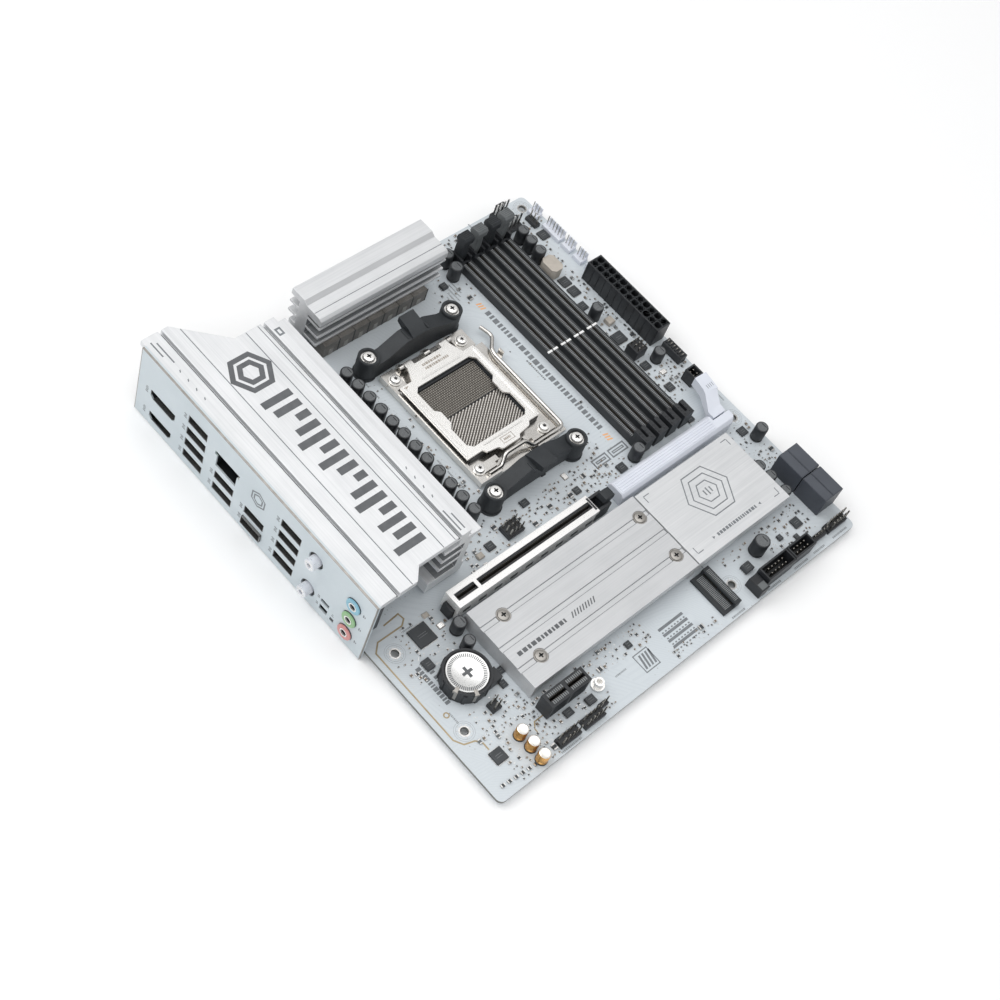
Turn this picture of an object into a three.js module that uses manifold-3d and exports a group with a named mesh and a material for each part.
// Motherboard for a desktop computer, micro-ATX size, with its rear port plate, heatsinks and sockets.
// Units are millimetres and +Z is up. Pieces are placed in board coordinates: x from the rear edge of the
// circuit board, y from its lower edge (the one with the front-panel headers) and z from its upper face.
// At the end every piece is moved so that the object is centred on the origin and stands on Z = 0.
import * as THREE from "three";
import { mergeVertices } from "three/addons/utils/BufferGeometryUtils.js";
import Module from "manifold-3d";

const wasm = await Module();
wasm.setup();
const { Manifold, Mesh } = wasm;

// ---------------------------------------------------------------- driving dimensions

const BOARD = 243.84; // side of the square board
const BOARD_THICK = 1.57;
const BOARD_CORNER = 3;
const MOUNT_HOLE_R = 1.98;
const MOUNT_HOLES = [
  [10.16, 34.29],
  [10.16, 80.01],
  [33.02, 237.49],
  [165.1, 237.49],
  [237.49, 237.49],
  [237.49, 80.01],
  [165.1, 13.97],
];
const SEAT = 0.1; // gap left under a piece that is soldered or screwed to the board
const PIN = 0.64; // side of a square header pin
const PIN_PITCH = 2.54;

const PLATE = { x0: -2.9, x1: -2.1, y0: 88.2, y1: 246.9, z0: -3.81, z1: 40.64 }; // rear port plate
const PLATE_FOLD = 1.3; // width of its folded edges

const USB = { wide: 13, high: 5.1, rows: [0.5, 9, 17.4, 25.9] }; // row heights of stacked sockets
const USB_BLOCK_DEEP = 16.5;
const JACK = { y: 99.6, rows: [4.6, 15.7, 26.8], r: 4.1, bore: 1.8 };
const AERIAL = { y: 125.2, rows: [5.9, 28.4], r: 3, tip: -6.9 };

const SHROUD = { x0: -0.85, x1: 65.1, low: 88.8, high: 251, top: 40, under: 36.5 };
const TOP_SINK = { x0: 81, x1: 162, y0: 221.8, y1: 243.4, top: 31 };

const SOCKET = { x: 126.1, y: 158.3, field: 3.2, top: 5.6 };
const COOLER = { x: 124.3, y: 157.2, dx: 27, dy: 45 }; // centre and half spacing of the cooler screws
const FRAME = { x0: 99.9, x1: 152.9, y0: 121.6, y1: 194.5, edge: 158.4, top: 4.2 };
const FRAME_SCREWS = [
  [103.9, 128],
  [146.9, 128.2],
  [103.9, 188.4],
  [147.4, 188.6],
];
const PLATE_Z = { low: 5.9, high: 7.1 }; // load plate
const PLATE_HINGE = { y: 192.2, z: 5.2, r: 1.6 };
const LEVER = { y: 124, z: 3.6, r: 1.1, arm: 157 };

const DIMM = { first: 183.2, pitch: 9.34, count: 4, key: 159.3, high: 4.8 };
const DIMM_HINGE = { y: 229.4, z: 3 };

const CAP_ROW = { x: 85.2, y: 202.8, pitch: 8.24, count: 12, r: 3.25, high: 9 };
const CHOKES = { x: 90.4, pitch: 9.46, count: 7, size: 9.2, high: 8.9 };

const X16 = { x0: 43.3, x1: 131.7, y: 81.5, high: 11.25, key: 57.5 };
const X1 = { x0: 43.3, x1: 67.8, y: 20.4 };
const M2_SINK = { x0: 44.3, x1: 152.4, y0: 28.6, y1: 73.8, z0: 4.6, z1: 10 };
const M2_SCREWS = [
  [57.5, 38.75],
  [147, 38.75],
  [57.5, 63.4],
  [147, 63.4],
];
const M2_CHANNELS = [38.75, 51, 63.4]; // centres of the shallow channels along it
const CHIP_SINK = { x0: 152.9, x1: 219.2, y0: 28.6, y1: 73, z0: 4, z1: 10.4 };
const BATTERY = { x: 26.3, y: 52.6, r: 10, thick: 3.3 };

const ATX = { x: 232.5, y: 135.2, cell: 4.2, rows: 12, high: 12.6 };

// where the origin lies in board coordinates
const ORIGIN = {
  x: (AERIAL.tip + BOARD) / 2,
  y: SHROUD.high / 2,
  z: PLATE.z0,
};

// ---------------------------------------------------------------- helpers

// A solid for adding and cutting, from a closed three.js geometry.
function solid(geometry) {
  const g = geometry.clone();
  g.deleteAttribute("normal");
  g.deleteAttribute("uv");
  const m = mergeVertices(g, 1e-4);
  const vertProperties = m.attributes.position.array;
  const triVerts = new Uint32Array(m.index.array);
  return new Manifold(new Mesh({ numProp: 3, vertProperties, triVerts }));
}

function geometryOf(shape) {
  const mesh = shape.getMesh();
  const g = new THREE.BufferGeometry();
  g.setAttribute("position", new THREE.BufferAttribute(new Float32Array(mesh.vertProperties), 3));
  g.setIndex(new THREE.BufferAttribute(new Uint32Array(mesh.triVerts), 1));
  const flat = g.toNonIndexed();
  flat.computeVertexNormals();
  return flat;
}

const join = (...shapes) => Manifold.union(shapes.flat());
const cut = (shape, ...tools) => shape.subtract(Manifold.union(tools.flat()));
const meet = (a, b) => a.intersect(b);

function box(x0, x1, y0, y1, z0, z1) {
  const g = new THREE.BoxGeometry(x1 - x0, y1 - y0, z1 - z0);
  return solid(g.translate((x0 + x1) / 2, (y0 + y1) / 2, (z0 + z1) / 2));
}

// A box given by its centre in plan.
function block(x, y, wide, deep, z0, z1) {
  return box(x - wide / 2, x + wide / 2, y - deep / 2, y + deep / 2, z0, z1);
}

function outline(points) {
  return new THREE.Shape(points.map(([a, b]) => new THREE.Vector2(a, b)));
}

function extruded(points, depth) {
  return new THREE.ExtrudeGeometry(outline(points), { depth, bevelEnabled: false });
}

// A plan outline of x, y points, from z0 up to z1.
function prism(points, z0, z1) {
  return solid(extruded(points, z1 - z0).translate(0, 0, z0));
}

// A section of y, z points, run along x.
function alongX(points, x0, x1) {
  const turn = new THREE.Matrix4().makeBasis(
    new THREE.Vector3(0, 1, 0),
    new THREE.Vector3(0, 0, 1),
    new THREE.Vector3(1, 0, 0),
  );
  return solid(extruded(points, x1 - x0).applyMatrix4(turn).translate(x0, 0, 0));
}

// A section of x, z points, run along y.
function alongY(points, y0, y1) {
  const turn = new THREE.Matrix4().makeBasis(
    new THREE.Vector3(1, 0, 0),
    new THREE.Vector3(0, 0, 1),
    new THREE.Vector3(0, -1, 0),
  );
  return solid(extruded(points, y1 - y0).applyMatrix4(turn).translate(0, y1, 0));
}

function post(x, y, z0, z1, r, sides = 24) {
  const g = new THREE.CylinderGeometry(r, r, z1 - z0, sides);
  return solid(g.rotateX(Math.PI / 2).translate(x, y, (z0 + z1) / 2));
}

function rod(y, z, x0, x1, r, sides = 20) {
  const g = new THREE.CylinderGeometry(r, r, x1 - x0, sides);
  return solid(g.rotateZ(Math.PI / 2).translate((x0 + x1) / 2, y, z));
}

// A round wire that runs straight between the points and bends smoothly at them.
function wire(points, r) {
  const path = new THREE.CatmullRomCurve3(
    points.map(([x, y, z]) => new THREE.Vector3(x, y, z)),
    false,
    "catmullrom",
    0.15,
  );
  const round = new THREE.Shape();
  const sides = 10;
  for (let i = 0; i < sides; i += 1) {
    const a = (i / sides) * Math.PI * 2;
    if (i === 0) round.moveTo(r, 0);
    else round.lineTo(r * Math.cos(a), r * Math.sin(a));
  }
  return solid(new THREE.ExtrudeGeometry(round, { steps: 70, bevelEnabled: false, extrudePath: path }));
}

// A rounded rectangle in plan, as points.
function rounded(x0, x1, y0, y1, r, steps = 5) {
  const points = [];
  const corners = [
    [x1 - r, y1 - r, 0],
    [x0 + r, y1 - r, 1],
    [x0 + r, y0 + r, 2],
    [x1 - r, y0 + r, 3],
  ];
  for (const [cx, cy, quarter] of corners) {
    for (let i = 0; i <= steps; i += 1) {
      const a = (quarter + i / steps) * (Math.PI / 2);
      points.push([cx + r * Math.cos(a), cy + r * Math.sin(a)]);
    }
  }
  return points;
}

function finish(color, roughness, metalness) {
  return new THREE.MeshStandardMaterial({ color, roughness, metalness });
}

const LOOK = {
  board: [0xdfe3e6, 0.55, 0],
  aluminium: [0xd9dbdc, 0.35, 0.9],
  plate: [0xcfd6da, 0.5, 0.2],
  steel: [0xd6d2cb, 0.25, 0.95],
  black: [0x26282b, 0.5, 0],
  slate: [0x3c4048, 0.5, 0],
  white: [0xe6e7ee, 0.45, 0],
  choke: [0x6e6862, 0.5, 0.4],
  port: [0x1c1d20, 0.5, 0.1],
};

const group = new THREE.Group();

function part(name, shape, look) {
  const mesh = new THREE.Mesh(geometryOf(shape), finish(...LOOK[look]));
  mesh.name = name;
  mesh.position.set(-ORIGIN.x, -ORIGIN.y, -ORIGIN.z);
  group.add(mesh);
}

const coolerScrews = [];
for (const sy of [1, -1]) {
  for (const sx of [-1, 1]) coolerScrews.push([COOLER.x + sx * COOLER.dx, COOLER.y + sy * COOLER.dy]);
}

// ---------------------------------------------------------------- board and back plate

const POST_R = 2.3;

function board() {
  const sheet = prism(rounded(0, BOARD, 0, BOARD, BOARD_CORNER), -BOARD_THICK, 0);
  const holes = MOUNT_HOLES.map(([x, y]) => post(x, y, -3, 1, MOUNT_HOLE_R));
  const posts = coolerScrews.map(([x, y]) => post(x, y, -3, 1, POST_R + 0.25, 16));
  return cut(sheet, holes, posts);
}

// Steel plate under the board, with a threaded post through the board at each cooler screw.
function backplate() {
  const low = PLATE.z0;
  const wide = COOLER.dx + 5.5;
  const tall = COOLER.dy + 5.5;
  const sheet = prism(
    rounded(COOLER.x - wide, COOLER.x + wide, COOLER.y - tall, COOLER.y + tall, 5),
    low,
    -BOARD_THICK - SEAT,
  );
  const window = block(SOCKET.x, SOCKET.y, 34, 36, low - 1, 0);
  const posts = coolerScrews.map(([x, y]) => post(x, y, low + 0.5, -0.05, POST_R, 16));
  const bores = coolerScrews.map(([x, y]) => post(x, y, low + 0.7, 1, 1.65, 16));
  return cut(join(cut(sheet, window), posts), bores);
}

// ---------------------------------------------------------------- rear port plate and the port blocks

const USB_STACKS = [
  { y: 205.9, rows: [0, 1, 2, 3] },
  { y: 184.8, rows: [0, 1] },
  { y: 141.9, rows: [0, 1, 2, 3] },
];
const DUAL = { y: 163.6, rows: [0.4, 8.2] };
const LAN = { y: 185, wide: 13.4, z0: 17.9, z1: 27.3, top: 16.4, topZ: 25 };
const VIDEO = { y: 229.2, hdmi: [0.2, 5.2, 15.3], dp: [14.8, 20.3, 17] };
const SLOT = { y: 114, wide: 5, z0: 6.7, z1: 8.9 };
const SQUARE = { y: 114, wide: 4.8, z0: 0.9, z1: 4.2 };
const BUTTON = { y: 108.2, z: 1.9, half: 0.9 };

// The opening shapes, grown by a margin, from x0 to x1.
function portHoles(x0, x1, grow) {
  const hole = (y, wide, z0, z1) => {
    const half = wide / 2 + grow;
    return box(x0, x1, y - half, y + half, z0 - grow, z1 + grow);
  };
  const shapes = [];
  for (const { y, rows } of USB_STACKS) {
    for (const row of rows) {
      const z = USB.rows[row];
      shapes.push(hole(y, USB.wide, z, z + USB.high));
    }
  }
  for (const z of DUAL.rows) shapes.push(hole(DUAL.y, USB.wide, z, z + USB.high));
  shapes.push(hole(LAN.y, LAN.wide, LAN.z0, LAN.z1));
  shapes.push(hole(LAN.y, LAN.top, LAN.topZ, LAN.z1));
  for (const [z0, z1, wide] of [VIDEO.hdmi, VIDEO.dp]) {
    shapes.push(videoHole(z0, z1, wide, x0, x1, grow));
  }
  shapes.push(hole(SLOT.y, SLOT.wide, SLOT.z0, SLOT.z1));
  shapes.push(hole(SQUARE.y, SQUARE.wide, SQUARE.z0, SQUARE.z1));
  return shapes;
}

// A display socket: a wide opening with its two lower corners cut off.
function videoHole(z0, z1, wide, x0, x1, grow) {
  const w = wide / 2 + grow;
  const lo = z0 - grow;
  const hi = z1 + grow;
  const points = [
    [VIDEO.y - w, hi],
    [VIDEO.y - w, lo + 1.8],
    [VIDEO.y - w + 1.8, lo],
    [VIDEO.y + w - 1.8, lo],
    [VIDEO.y + w, lo + 1.8],
    [VIDEO.y + w, hi],
  ].reverse();
  return alongX(points, x0, x1);
}

function ioPlate() {
  const { x0, x1, y0, y1, z0, z1 } = PLATE;
  const sheet = box(x0, x1, y0, y1, z0, z1);
  const fold = x1 + PLATE_FOLD - 0.2;
  const wall = x1 - x0;
  const inside = box(x1, fold + 1, y0 + wall, y1 - wall, z0 + wall, z1 - wall);
  const tray = cut(box(x0, fold, y0, y1, z0, z1), inside);
  const rounds = [];
  for (const z of JACK.rows) rounds.push(rod(JACK.y, z, -5, 1, JACK.r + 0.2, 28));
  for (const z of AERIAL.rows) rounds.push(rod(AERIAL.y, z, -5, 1, AERIAL.r + 1.4, 28));
  const b = BUTTON.half + 0.3;
  const button = box(-5, 1, BUTTON.y - b, BUTTON.y + b, BUTTON.z - b, BUTTON.z + b);
  return cut(join(sheet, tray), portHoles(-5, -1.5, 0.1), rounds, button);
}

// A block of stacked sockets behind the plate, each a cavity with a tongue.
function usbBlock(y, rows, high, halfWide = 7.4) {
  const x0 = PLATE.x1 + SEAT;
  const body = box(x0, x0 + USB_BLOCK_DEEP, y - halfWide, y + halfWide, SEAT, high);
  const cavities = rows.map((z) => box(x0 - 1, x0 + 12, y - USB.wide / 2, y + USB.wide / 2, z, z + USB.high));
  const tongues = rows.map((z) => box(x0 + 1.5, x0 + 13, y - 5.5, y + 5.5, z + 2.6, z + 4.4));
  return join(cut(body, cavities), tongues);
}

function lanBlock() {
  const x0 = PLATE.x1 + SEAT;
  const lower = usbBlock(LAN.y, [USB.rows[0], USB.rows[1]], 16.2, 8.8);
  const upper = box(x0, x0 + USB_BLOCK_DEEP, LAN.y - 8.8, LAN.y + 8.8, 16.2, 30.5);
  const mouth = box(x0 - 1, x0 + 13, LAN.y - LAN.wide / 2, LAN.y + LAN.wide / 2, LAN.z0, LAN.z1);
  const lip = box(x0 - 1, x0 + 3, LAN.y - LAN.top / 2, LAN.y + LAN.top / 2, LAN.topZ, LAN.z1);
  return join(lower, cut(upper, mouth, lip));
}

function videoBlock() {
  const x0 = PLATE.x1 + SEAT;
  const body = box(x0, x0 + 18, VIDEO.y - 9.8, VIDEO.y + 9.8, SEAT, 22.4);
  const cavities = [];
  const tongues = [];
  for (const [z0, z1, wide] of [VIDEO.hdmi, VIDEO.dp]) {
    cavities.push(videoHole(z0, z1, wide, x0 - 1, x0 + 11, 0));
    const half = wide / 2 - 2.2;
    tongues.push(box(x0 + 1.5, x0 + 12, VIDEO.y - half, VIDEO.y + half, z0 + 2.1, z0 + 3.3));
  }
  return join(cut(body, cavities), tongues);
}

function smallPorts() {
  const x0 = PLATE.x1 + SEAT;
  const body = box(x0, 8, 106.4, 118, SEAT, 10.6);
  const slot = box(x0 - 1, 5, SLOT.y - 2.5, SLOT.y + 2.5, SLOT.z0, SLOT.z1);
  const tongue = box(x0 + 1.2, 6, SLOT.y - 1.8, SLOT.y + 1.8, 7.5, 8.1);
  const square = box(x0 - 1, 4, SQUARE.y - 2.4, SQUARE.y + 2.4, SQUARE.z0, SQUARE.z1);
  const b = BUTTON.half + 0.2;
  const guide = box(x0 - 1, 4, BUTTON.y - b, BUTTON.y + b, BUTTON.z - b, BUTTON.z + b);
  return join(cut(body, slot, square, guide), tongue);
}

function flashButton() {
  const b = BUTTON.half;
  return box(-2.7, 2.2, BUTTON.y - b, BUTTON.y + b, BUTTON.z - b, BUTTON.z + b);
}

function audioBlock() {
  const body = box(0, 12, JACK.y - 5.2, JACK.y + 5.2, SEAT, 33);
  const barrels = JACK.rows.map((z) => rod(JACK.y, z, -3.6, 1, JACK.r, 28));
  const bores = JACK.rows.map((z) => rod(JACK.y, z, -5, 10, JACK.bore, 18));
  return cut(join(body, barrels), bores);
}

// Radio card standing behind the plate, with its two push-on aerial sockets.
function radioModule() {
  const x0 = PLATE.x1 + SEAT;
  const body = box(x0, 24, AERIAL.y - 5.4, AERIAL.y + 5.4, SEAT, 33.6);
  const barrels = AERIAL.rows.map((z) => rod(AERIAL.y, z, AERIAL.tip, 1, AERIAL.r, 24));
  const bores = AERIAL.rows.map((z) => rod(AERIAL.y, z, AERIAL.tip - 1, -2.5, 1.2, 14));
  return cut(join(body, barrels), bores);
}

// ---------------------------------------------------------------- heatsinks

// Cover over the ports and the finned heatsink beside it, in one extruded section.
function rearHeatsink() {
  const { x0, x1, low, high, top, under } = SHROUD;
  const groove = 2.4;
  const section = [
    [x0, under],
    [44, under],
    [52, under],
    [52, 31.6],
    [44, 31.6],
    [44, 29.6],
    [56.5, 29.6],
    [56.5, 24.6],
    [44, 24.6],
    [44, 22.6],
    [56.5, 22.6],
    [56.5, 17.6],
    [44, 17.6],
    [44, 15.6],
    [56.5, 15.6],
    [56.5, 9],
    [40, 9],
    [40, 1.6],
    [62, 1.6],
    [62, 9],
    [60.5, 9],
    [60.5, 31],
    [x1, 31],
    [x1, 34],
    [57.2, 34],
    [57.2, top],
    [51.5, top],
    [51.5, top - groove],
    [49.6, top - groove],
    [49.6, top],
    [10.2, top],
    [10.2, top - groove],
    [8.4, top - groove],
    [8.4, top],
    [x0, top],
  ];
  const bar = alongY(section, low, high);
  const plan = prism(
    [
      [x0 - 1, low],
      [20.4, low],
      [26.2, 94.6],
      [x1 + 1, 94.6],
      [x1 + 1, 230.1],
      [34.7, 230.1],
      [13.8, high],
      [x0 - 1, high],
    ],
    0,
    top + 1,
  );
  const feet = [103, 221].map((y) => block(52, y, 10, 8, SEAT, 4));
  return join(meet(bar, plan), feet);
}

function topHeatsink() {
  const { x0, x1, y0, y1, top } = TOP_SINK;
  const step = 29.2;
  const section = [
    [y0, 9.4],
    [231.4, 9.4],
    [231.4, 1.6],
    [241.4, 1.6],
    [241.4, 11],
    [237.4, 11],
    [237.4, 15],
    [y1, 15],
    [y1, 16.5],
    [237.4, 16.5],
    [237.4, 21.5],
    [y1, 21.5],
    [y1, 23],
    [237.4, 23],
    [237.4, 27],
    [y1, 27],
    [y1, top],
    [234.8, top],
    [232.2, step],
    [y0 + 1.4, step],
    [y0, step - 1.4],
    [y0, 24.4],
    [230.6, 24.4],
    [230.6, 23],
    [y0, 23],
    [y0, 21.5],
    [230.6, 21.5],
    [230.6, 16.5],
    [y0, 16.5],
    [y0, 15],
    [230.6, 15],
    [230.6, 11],
    [y0, 11],
  ].reverse();
  const feet = [x0 + 5, x1 - 5].map((x) => block(x, 236.4, 8, 6, SEAT, 4));
  return join(alongX(section, x0, x1), feet);
}

// Long cover over the solid-state drive, with three shallow channels and four sunk screws.
function driveHeatsink() {
  const { x0, x1, y0, y1, z0, z1 } = M2_SINK;
  const slab = box(x0, x1, y0, y1, z0, z1);
  const legs = [x0, x1 - 3.2].map((x) => box(x, x + 3.2, y0, y1, SEAT, z0 + 1));
  const channels = M2_CHANNELS.map((y) => box(x0 - 1, x1 + 1, y - 1.4, y + 1.4, z1 - 0.5, z1 + 1));
  const sinks = M2_SCREWS.map(([x, y]) => post(x, y, z1 - 1.6, z1 + 1, 3.6));
  const holes = M2_SCREWS.map(([x, y]) => post(x, y, 0, z1, 1.7, 16));
  return cut(join(slab, legs), channels, sinks, holes);
}

function driveScrew(x, y) {
  const top = M2_SINK.z1 + 0.3;
  return join(post(x, y, top - 1.8, top, 3.1), post(x, y, 0.3, top - 1, 1.4, 16));
}

function chipHeatsink() {
  const { x0, x1, y0, y1, z0, z1 } = CHIP_SINK;
  const slab = box(x0, x1, y0, y1, z0, z1);
  const pad = box(174, 200, 38, 64, 2.2, z0 + 1);
  const feet = [block(158, 68, 6, 6, SEAT, z0 + 1), block(214, 34, 6, 6, SEAT, z0 + 1)];
  return join(slab, pad, feet);
}

// ---------------------------------------------------------------- processor socket

function cpuSocket() {
  const body = box(104.2, 148.8, 134.2, 182.8, SEAT, SOCKET.top);
  const pocket = block(SOCKET.x, SOCKET.y, 41.2, 42.8, SOCKET.field, SOCKET.top + 1);
  return cut(body, pocket);
}

// Steel frame round the socket: low rails, screw corners, lever bearings and hinge lugs.
function socketFrame() {
  const { x0, x1, y0, y1, edge, top } = FRAME;
  const ring = cut(box(x0, x1, y0, y1, 0.4, 2), box(104, 149, 134, 183, 0, 3));
  const shelf = box(x1 - 1, edge, 122.4, 184, 0.4, 1.4);
  const rail = box(x0, x0 + 1.6, y0, y1, 0.4, top);
  const left = box(x0, 116.6, y0, 130.2, 0.4, top);
  const right = box(134.4, x1, y0, 130.2, 0.4, top);
  const { y, z } = LEVER;
  const bearings = [
    box(103.4, edge + 1, y - 1.4, y + 1.4, z - 1.4, z + 1.4),
    box(113.6, 138, y - 3, y + 3.4, z - 1.4, z + 1.4),
  ];
  const corners = [box(x0, 107.6, 183.6, y1, 0.4, top), box(143.4, x1, 183.6, y1, 0.4, top)];
  const hinge = PLATE_HINGE;
  const lugs = [
    [109.4, 111.9],
    [125.4, 128.8],
    [140.5, 143],
  ].map(([a, b]) =>
    join(box(a, b, hinge.y - hinge.r, y1, 0.4, hinge.z), rod(hinge.y, hinge.z, a, b, hinge.r)),
  );
  const heads = FRAME_SCREWS.map(([sx, sy]) =>
    join(post(sx, sy, 3.6, top + 0.5, 2.9, 20), post(sx, sy, 3.6, top + 1.7, 2.5, 20)),
  );
  const catchTab = join(box(edge - 1, 161, 171.4, 174.8, 0.4, 1.4), box(160.3, 161, 171.4, 174.8, 0.4, 5.4));
  return join(cut(join(ring, shelf, rail, left, right), bearings), corners, lugs, heads, catchTab);
}

// Load plate with its window, turned-down lip and curled hinge ends.
function loadPlate() {
  const { low, high } = PLATE_Z;
  const sheet = prism(
    [
      [101.7, 134.4],
      [111.4, 134.4],
      [112.6, 132.4],
      [119, 131.4],
      [120.4, 129.6],
      [131.6, 129.6],
      [133, 131.4],
      [140.4, 132.4],
      [142.2, 134.4],
      [149.2, 134.4],
      [149.2, 182.6],
      [142.4, 182.6],
      [139.8, 189.8],
      [112.4, 189.8],
      [109.2, 182.6],
      [101.7, 182.6],
    ],
    low,
    high,
  );
  const window = prism(
    [
      [109.2, 138.1],
      [142.9, 138.1],
      [145.5, 140.7],
      [145.5, 151.4],
      [142.8, 154],
      [142.8, 161.4],
      [145.5, 164],
      [145.5, 175.9],
      [142.9, 178.5],
      [109.2, 178.5],
      [106.6, 175.9],
      [106.6, 164],
      [109, 161.6],
      [109, 154],
      [106.6, 151.6],
      [106.6, 140.7],
    ],
    0,
    10,
  );
  const ribs = [101.7, 147.6].map((x) => box(x, x + 1.6, 136, 181, high - 0.5, high + 0.6));
  const curls = [
    [112.4, 117.2],
    [135.2, 140],
  ].map(([a, b]) => {
    const { y, z, r } = PLATE_HINGE;
    return join(rod(y, z, a, b, r), box(a, b, 188.6, y, low, low + 0.9));
  });
  return join(cut(join(sheet, ribs), window), curls);
}

// Bent wire lever: bearing ends, raised crank in the middle, long arm and hooked handle.
function socketLever() {
  const { y, z, r, arm } = LEVER;
  return wire(
    [
      [107, y, z],
      [111, y, z],
      [115.6, y, z],
      [119.6, y + 3, z + 3.2],
      [126.4, y + 3, z + 3.2],
      [132.4, y + 3, z + 3.2],
      [136, y, z],
      [146, y, z],
      [arm - 2.6, y, z],
      [arm - 0.4, y + 0.8, z],
      [arm, y + 3, z],
      [arm, 150, z],
      [arm, 174, z],
      [158.2, 177.4, z],
      [163.2, 182.4, z],
      [163.6, 184.4, z],
      [162.2, 190.4, z],
    ],
    r,
  );
}

// Arched plastic bracket for a cooler, between two screw bosses, with a hooked lug in the middle.
function coolerBracket(side) {
  const y = COOLER.y + side * COOLER.dy;
  const inner = y - side * 5.4;
  const outer = y + side * 2.4;
  const at = (dx, z) => [COOLER.x + dx, z];
  const arch = [
    at(-COOLER.dx, SEAT),
    at(-14, 1.6),
    at(14, 1.6),
    at(COOLER.dx, SEAT),
    at(COOLER.dx, 10.6),
    at(19, 11.4),
    at(8, 16.8),
    at(-8, 16.8),
    at(-19, 11.4),
    at(-COOLER.dx, 10.6),
  ];
  const bar = alongY(arch, Math.min(inner, outer), Math.max(inner, outer));
  const hook = [
    [inner, 12],
    [inner, 17.2],
    [y - side * 1, 19.4],
    [y + side * 6.4, 20.8],
    [y + side * 6.4, 17.6],
    [outer, 15.6],
    [outer, 12],
  ];
  const lug = alongX(side > 0 ? hook.reverse() : hook, COOLER.x - 4.6, COOLER.x + 4.6);
  const ends = [-1, 1].map((s) => COOLER.x + s * COOLER.dx);
  const bosses = ends.map((x) => post(x, y, SEAT, 12.5, 5.4, 28));
  const sinks = ends.map((x) => post(x, y, 11, 14, 3.9, 24));
  const holes = ends.map((x) => post(x, y, 0, 14, 1.8, 16));
  return cut(join(bar, lug, bosses), sinks, holes);
}

function bracketScrew(x, y) {
  return join(post(x, y, 11.1, 13, 3.5), post(x, y, -2.6, 12, 1.5, 16));
}

// ---------------------------------------------------------------- memory sockets

function dimmSlot(i) {
  const x = DIMM.first + i * DIMM.pitch;
  const body = block(x, 161, 6.4, 128, SEAT, DIMM.high);
  const foot = box(x - 3.4, x + 3.4, 91, 99.4, SEAT, 10.6);
  const cheeks = [-1, 1].map((s) => block(x + s * 3, 228, 1.2, 8, SEAT, 7.6));
  const sill = box(x - 3.6, x + 3.6, 223.6, 225, SEAT, DIMM.high);
  const groove = box(x - 0.8, x + 0.8, 93.4, 224, 1.4, 20);
  const key = box(x - 1, x + 1, DIMM.key - 0.8, DIMM.key + 0.8, 1, DIMM.high - 0.4);
  return join(cut(join(body, foot, cheeks, sill), groove), key);
}

// Swinging latch of a memory socket: a foot round the hinge, a blade and a wide thumb pad.
function dimmLatch(i) {
  const x = DIMM.first + i * DIMM.pitch;
  const { y, z } = DIMM_HINGE;
  const blade = alongX(
    [
      [y - 2.6, z - 1],
      [y - 1, z - 2.4],
      [y + 1, z - 2.4],
      [y + 2.4, z - 1],
      [y + 2.6, z + 9],
      [y + 1.8, z + 15],
      [y - 2.4, z + 15],
      [y - 3.2, z + 6],
    ],
    x - 2.1,
    x + 2.1,
  );
  const pad = alongX(
    [
      [y - 3.4, z + 13],
      [y + 1.6, z + 13],
      [y + 2.8, z + 15],
      [y + 2.4, z + 17.4],
      [y - 2.6, z + 17.8],
      [y - 3.6, z + 16.6],
    ],
    x - 3.3,
    x + 3.3,
  );
  return join(blade, pad);
}

// ---------------------------------------------------------------- expansion slots

function x16Slot() {
  const { x0, x1, y, high, key } = X16;
  const body = box(x0, x1, y - 3.7, y + 3.7, SEAT, high);
  const tail = box(x0 - 2.6, x0 + 1, y - 3, y + 3, SEAT, 7);
  const yoke = [-1, 1].map((s) => block((x1 + 141) / 2, y + s * 3.65, 143 - x1, 1.5, SEAT, 9.2));
  const groove = [
    box(x0 + 1.6, key - 0.9, y - 0.9, y + 0.9, 3, 20),
    box(key + 0.9, x1 - 1.2, y - 0.9, y + 0.9, 3, 20),
  ];
  return join(cut(join(body, tail), groove), yoke);
}

// Metal sleeve over the slot, with the two long openings.
function x16Armour() {
  const { x0, x1, y, high, key } = X16;
  const outer = box(x0 - 0.8, x1 + 0.4, y - 5, y + 5, 1.4, high + 0.7);
  const inner = box(x0 - 0.15, x1 + 2, y - 3.85, y + 3.85, 0, high + 0.15);
  const mouths = [
    box(x0 + 1.4, key - 1, y - 1.9, y + 1.9, 5, 20),
    box(key + 1, x1 - 1.2, y - 1.9, y + 1.9, 5, 20),
  ];
  const tailGap = box(x0 - 3, x0 + 1, y - 3.15, y + 3.15, 0, 7.15);
  const yokeGap = box(x1 - 1.2, x1 + 1, y - 5.5, y + 5.5, 0, 9.4);
  return cut(outer, inner, mouths, tailGap, yokeGap);
}

function cardLatch() {
  const y = X16.y;
  return alongY(
    [
      [138.2, 1],
      [140.8, 1],
      [141.8, 2.2],
      [142.4, 7],
      [145, 9.4],
      [145, 11.6],
      [142, 12.6],
      [138.4, 12.6],
      [137.4, 10],
      [139, 7],
      [137.4, 2.2],
    ],
    y - 2.6,
    y + 2.6,
  );
}

function x1Slot() {
  const { x0, x1, y } = X1;
  const body = box(x0, x1, y - 3.8, y + 3.8, SEAT, X16.high);
  const groove = [
    box(x0 + 1.4, 54.6, y - 0.9, y + 0.9, 3, 20),
    box(56.4, x1 - 1.4, y - 0.9, y + 0.9, 3, 20),
  ];
  return cut(body, groove);
}

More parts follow.
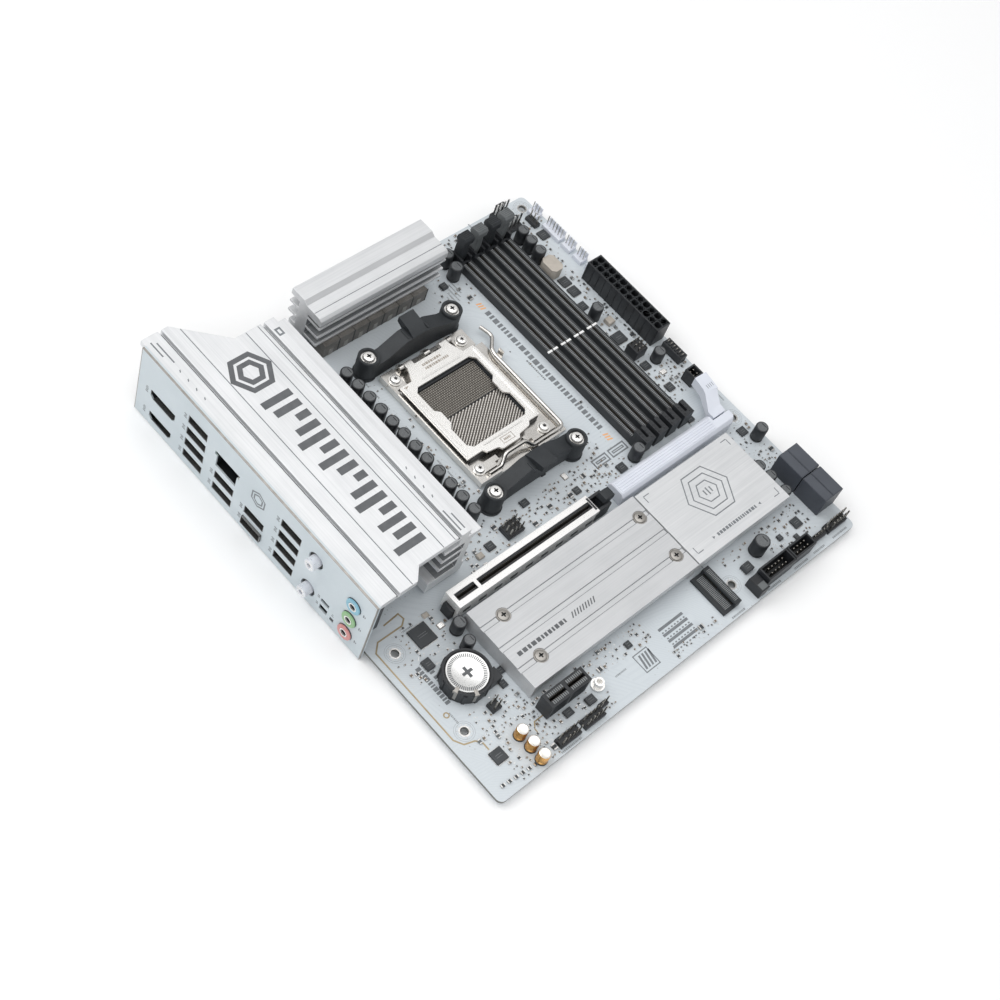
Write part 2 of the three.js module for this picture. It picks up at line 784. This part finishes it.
// Long ribbed cover for the linkage between the release button and the card latch.
function releaseChannel() {
  const y0 = 76.3;
  const y1 = 86.5;
  const section = [
    [y0, SEAT],
    [y1, SEAT],
    [y1, 6.2],
    [y1 - 1.6, 8],
    [y0 + 1.6, 8],
    [y0, 6.2],
  ];
  const bar = alongX(section, 150, 232.6);
  const plan = prism(
    [
      [150, y0 - 1],
      [229, y0 - 1],
      [232.6, y0 + 2.6],
      [232.6, y1 - 2.6],
      [230, y1 + 1],
      [150, y1 + 1],
    ],
    -1,
    9,
  );
  const hollow = box(152, 219, y0 + 1.6, y1 - 1.6, -1, 4.6);
  const notch = box(221, 234, 82.4, y1 + 1, 1, 9);
  return cut(meet(bar, plan), hollow, notch);
}

function releaseButton() {
  const pad = prism(
    [
      [227.3, 95.2],
      [235.1, 93.8],
      [236.8, 104],
      [229, 104.5],
    ],
    5.6,
    11.2,
  );
  const armPlan = prism(
    [
      [222, 83],
      [230.6, 83],
      [231.2, 87],
      [235.4, 95.6],
      [227.6, 97],
      [222, 86.6],
    ],
    0,
    20,
  );
  const armSide = alongX(
    [
      [82, 4.6],
      [88, 4.6],
      [98, 5.6],
      [98, 11.2],
      [94.6, 11.2],
      [87.4, 8.2],
      [82, 8.2],
    ],
    220,
    240,
  );
  return join(pad, meet(armPlan, armSide));
}

// ---------------------------------------------------------------- connectors on the board

function cellBlock(x, y, columns, rows, cell, high) {
  const wide = columns * cell + 1.2;
  const deep = rows * cell + 1.2;
  const body = box(x, x + wide, y, y + deep, SEAT, high);
  const cells = [];
  for (let i = 0; i < columns; i += 1) {
    for (let j = 0; j < rows; j += 1) {
      cells.push(block(x + 0.6 + (i + 0.5) * cell, y + 0.6 + (j + 0.5) * cell, 3.4, 3.4, 3.4, high + 1));
    }
  }
  return cut(body, cells);
}

function atxPower() {
  const { x, y, cell, rows, high } = ATX;
  const block24 = cellBlock(x, y, 2, rows, cell, high);
  return join(block24, box(x + 9, x + 10.8, 158, 164, 7, 11));
}

// Two stacked right-angle drive sockets facing the board's front edge.
function sataBlock(y0) {
  const wide = 15.8;
  const body = box(230.3, BOARD - 0.04, y0, y0 + wide, SEAT, 13);
  const mouths = [];
  const tongues = [];
  for (const z of [1.3, 7.4]) {
    mouths.push(box(237.4, 246, y0 + 1.6, y0 + wide - 1.6, z, z + 3.9));
    tongues.push(box(237, 242.8, y0 + 3, y0 + wide - 3, z + 1.3, z + 2.5));
  }
  const seam = box(235.9, 236.4, y0 - 1, y0 + wide + 1, 12.6, 14);
  return join(cut(body, mouths, seam), tongues);
}

function m2Socket(x0, y0, y1) {
  const base = box(x0, x0 + 7.4, y0, y1, SEAT, 1.4);
  const head = box(x0 + 6.8, x0 + 11, y0, y1, SEAT, 4.4);
  const mouth = box(x0 + 6, x0 + 9.4, y0 + 1.2, y1 - 1.2, 1.9, 3);
  return cut(join(base, head), mouth);
}

function standoff() {
  const pillar = join(post(74, 15, SEAT, 4, 2.4), post(74, 15, SEAT, 1.2, 3.4));
  return cut(pillar, post(74, 15, 1.6, 5, 1.3, 16));
}

// Box header with an open top and a field of pins, as shapes to join.
function boxHeader(x0, x1, y0, y1, high, columns) {
  const wall = 0.9;
  const inside = box(x0 + wall, x1 - wall, y0 + wall, y1 - wall, 2, high + 1);
  const shell = cut(box(x0, x1, y0, y1, SEAT, high), inside);
  const pins = [];
  const middle = (x0 + x1) / 2;
  for (let i = 0; i < columns; i += 1) {
    for (const s of [-1, 1]) {
      const px = middle + (i - (columns - 1) / 2) * PIN_PITCH;
      pins.push(block(px, (y0 + y1) / 2 + (s * PIN_PITCH) / 2, PIN, PIN, 1, high - 1.2));
    }
  }
  return [shell, ...pins];
}

// Headers along the lower edge: two boxed ones and the open front-panel pins, on one thin solder strip.
function bottomHeaders() {
  const strip = box(178, 241, 6.4, 6.9, SEAT, 0.5);
  const pins = [];
  for (let i = 0; i < 6; i += 1) {
    for (const s of [-1, 1]) pins.push(block(228.4 + i * 2.3, 6.7 + s * 1.1, PIN, PIN, 1, 9));
  }
  const front = box(227, 241.2, 4.5, 8.9, SEAT, 2.5);
  const comb = box(213, 225.6, 5, 8, SEAT, 2.8);
  const serial = boxHeader(176.4, 196.2, 2.7, 10.4, 9, 5);
  const usb = boxHeader(196.7, 211.8, 3.2, 10.4, 9, 4);
  return join(strip, serial, usb, front, comb, pins);
}

// Fan headers near the upper corner: base, back wall and four pins each, on one thin solder strip.
function fanHeaders() {
  const shapes = [box(218.4, 219, 229, 242, SEAT, 0.5)];
  for (const y of [230.2, 240.4]) {
    shapes.push(box(217.4, 227.6, y - 2.4, y + 1.8, SEAT, 3.2));
    shapes.push(box(219.8, 225.2, y + 0.9, y + 1.8, 3, 8.4));
    for (let i = 0; i < 4; i += 1) {
      shapes.push(block(218.7 + i * PIN_PITCH, y - 0.6, PIN, PIN, 2, 11.4));
    }
  }
  return join(shapes);
}

function buttonHeader() {
  return join(boxHeader(231.4, 238, 105.3, 112.1, 8, 2));
}

function batteryHolder() {
  const { x, y, r } = BATTERY;
  const cup = join(post(x, y, SEAT, 7.6, r + 1.5, 40), block(x + 9, y - 7.4, 7, 6, SEAT, 6));
  return cut(cup, post(x, y, 4.4, 9, r + 0.2, 40));
}

function battery() {
  const { x, y, r, thick } = BATTERY;
  return post(x, y, 4.5, 4.5 + thick, r, 40);
}

// ---------------------------------------------------------------- power parts

function chokeBankTop() {
  const { x, pitch, count, size, high } = CHOKES;
  const shapes = [box(x, x + (count - 1) * pitch, 224, 225, SEAT, 0.5)];
  for (let i = 0; i < count; i += 1) shapes.push(block(x + i * pitch, 224.4, size, 9.8, SEAT, high));
  return join(shapes);
}

function chokeBankRear() {
  const shapes = [box(72, 73, 116, 208, SEAT, 0.5)];
  for (let i = 0; i < 9; i += 1) shapes.push(block(72.5, 118 + i * 10.6, 9.8, 9.4, SEAT, CHOKES.high));
  return join(shapes);
}

// A row of round capacitors on one thin solder strip.
function capacitors(places, r, high) {
  const width = 1.2;
  const shapes = places.map(([x, y]) => post(x, y, SEAT, high, r, 20));
  for (let i = 1; i < places.length; i += 1) {
    const [ax, ay] = places[i - 1];
    const [bx, by] = places[i];
    const dx = bx - ax;
    const dy = by - ay;
    const long = Math.hypot(dx, dy);
    const nx = (-dy / long) * (width / 2);
    const ny = (dx / long) * (width / 2);
    const strip = [
      [ax - nx, ay - ny],
      [bx - nx, by - ny],
      [bx + nx, by + ny],
      [ax + nx, ay + ny],
    ];
    shapes.push(prism(strip, SEAT, 0.5));
  }
  return join(shapes);
}

const capRow = [];
for (let i = 0; i < CAP_ROW.count; i += 1) capRow.push([CAP_ROW.x, CAP_ROW.y - i * CAP_ROW.pitch]);

// ---------------------------------------------------------------- assembly

part("pcb", board(), "board");
part("socket_backplate", backplate(), "steel");
part("io_plate", ioPlate(), "plate");
part("rear_heatsink", rearHeatsink(), "aluminium");
part("top_heatsink", topHeatsink(), "aluminium");
part("m2_heatsink", driveHeatsink(), "aluminium");
part("chipset_heatsink", chipHeatsink(), "aluminium");
M2_SCREWS.forEach(([x, y], i) => part(`m2_screw_${i + 1}`, driveScrew(x, y), "steel"));

part("cpu_socket", cpuSocket(), "black");
part("socket_frame", socketFrame(), "steel");
part("load_plate", loadPlate(), "steel");
part("socket_lever", socketLever(), "steel");
part("cooler_bracket_top", coolerBracket(1), "black");
part("cooler_bracket_bottom", coolerBracket(-1), "black");
coolerScrews.forEach(([x, y], i) => part(`bracket_screw_${i + 1}`, bracketScrew(x, y), "steel"));

for (let i = 0; i < DIMM.count; i += 1) {
  part(`dimm_slot_${i + 1}`, dimmSlot(i), "black");
  part(`dimm_latch_${i + 1}`, dimmLatch(i), "black");
}

part("pcie_x16_slot", x16Slot(), "black");
part("pcie_x16_armour", x16Armour(), "steel");
part("pcie_latch", cardLatch(), "black");
part("pcie_x1_slot", x1Slot(), "black");
part("release_channel", releaseChannel(), "white");
part("release_button", releaseButton(), "white");

part("video_block", videoBlock(), "port");
part("usb_quad_block_1", usbBlock(USB_STACKS[0].y, USB.rows, 33), "port");
part("usb_quad_block_2", usbBlock(USB_STACKS[2].y, USB.rows, 33), "port");
part("lan_usb_block", lanBlock(), "port");
part("usb_dual_block", usbBlock(DUAL.y, DUAL.rows, 15.4), "port");
part("small_port_block", smallPorts(), "port");
part("bios_button", flashButton(), "black");
part("audio_jack_block", audioBlock(), "slate");
part("radio_module", radioModule(), "white");

part("atx_power_24pin", atxPower(), "black");
part("eps_power_8pin", cellBlock(44, 231.6, 4, 2, 4.2, 12.6), "black");
part("eps_power_4pin", cellBlock(66.6, 231.6, 2, 2, 4.2, 12.6), "black");
part("sata_block_1", sataBlock(15.3), "slate");
part("sata_block_2", sataBlock(31.6), "slate");
part("m2_socket_lower", m2Socket(149, 4.4, 27.2), "slate");
part("m2_socket_upper", m2Socket(131, 39.8, 62.6), "slate");
part("m2_standoff", standoff(), "steel");
part("bottom_headers", bottomHeaders(), "black");
part("fan_headers", fanHeaders(), "black");
part("button_header", buttonHeader(), "black");
part("battery_holder", batteryHolder(), "black");
part("battery", battery(), "steel");

part("choke_bank_top", chokeBankTop(), "choke");
part("choke_bank_rear", chokeBankRear(), "choke");
part("capacitor_row", capacitors(capRow, CAP_ROW.r, CAP_ROW.high), "slate");

export default group;
